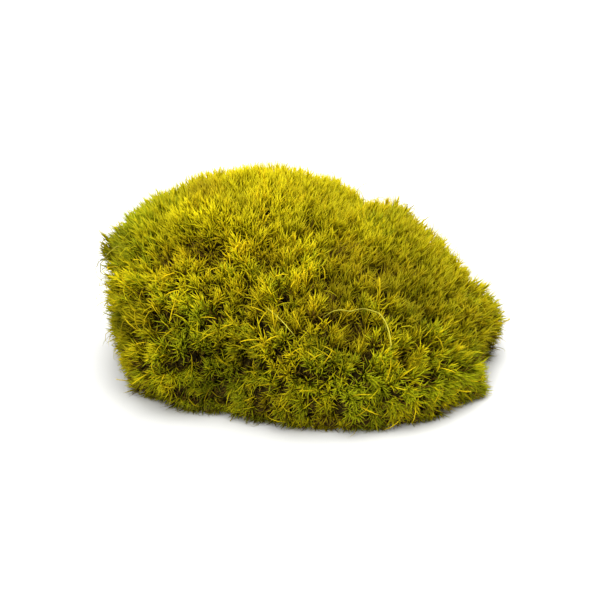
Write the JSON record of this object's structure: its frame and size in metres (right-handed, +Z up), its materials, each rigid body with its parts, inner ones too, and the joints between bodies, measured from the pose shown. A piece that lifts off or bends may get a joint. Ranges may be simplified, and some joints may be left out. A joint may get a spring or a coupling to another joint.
{
  "type": "moss clump",
  "caption": "Domed cushion of yellow-green moss shoots on a thin brown mat of dead stems, cut flat underneath so it rests on any surface.",
  "frame": {"origin": "on the ground, under the middle of the clump's bounding box", "axes": "+Z up; +X across the clump, along its longest side; +Y away from its front, which is the side the picture shows"},
  "size_m": [0.1, 0.092, 0.047],
  "materials": {
    "moss": "soft, matt, yellow-green moss shoots with dark gaps between them",
    "dead_stems": "matt brown felt of dead stems and rhizoids with crumbs of humus"
  },
  "bodies": {
    "root": {"moss_cushion": "moss", "root_mat": "dead_stems"}
  },
  "joints": []
}
